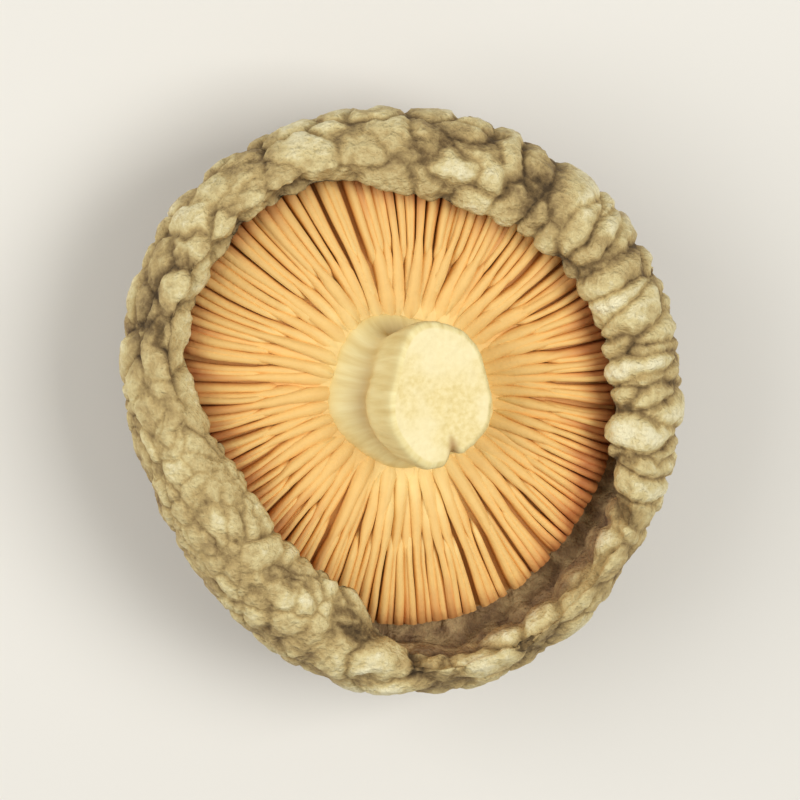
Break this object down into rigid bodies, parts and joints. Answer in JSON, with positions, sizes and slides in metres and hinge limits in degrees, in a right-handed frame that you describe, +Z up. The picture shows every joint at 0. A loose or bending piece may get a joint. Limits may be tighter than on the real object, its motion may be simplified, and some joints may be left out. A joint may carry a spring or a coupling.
{
  "type": "dried shiitake mushroom",
  "caption": "Whole dried shiitake mushroom lying on its lumpy round cap, the margin rolled in over golden gills round a short cut stem.",
  "frame": {"origin": "the middle of the flat spot on the crown of the cap that the mushroom rests on", "axes": "+Z up through the gills and the cut stem, +X to the right and +Y to the top as the gill side is seen from above; the cap is slightly longer along Y"},
  "size_m": [0.0346, 0.0365, 0.0158],
  "materials": {
    "cap_skin": "dry, wrinkled, tan lumps with dark creases",
    "gill": "dry, matt, golden orange",
    "stem_flesh": "dry, fibrous, pale cream"
  },
  "bodies": {
    "root": {"cap": "cap_skin", "gills": "gill", "stem": "stem_flesh"}
  },
  "joints": []
}
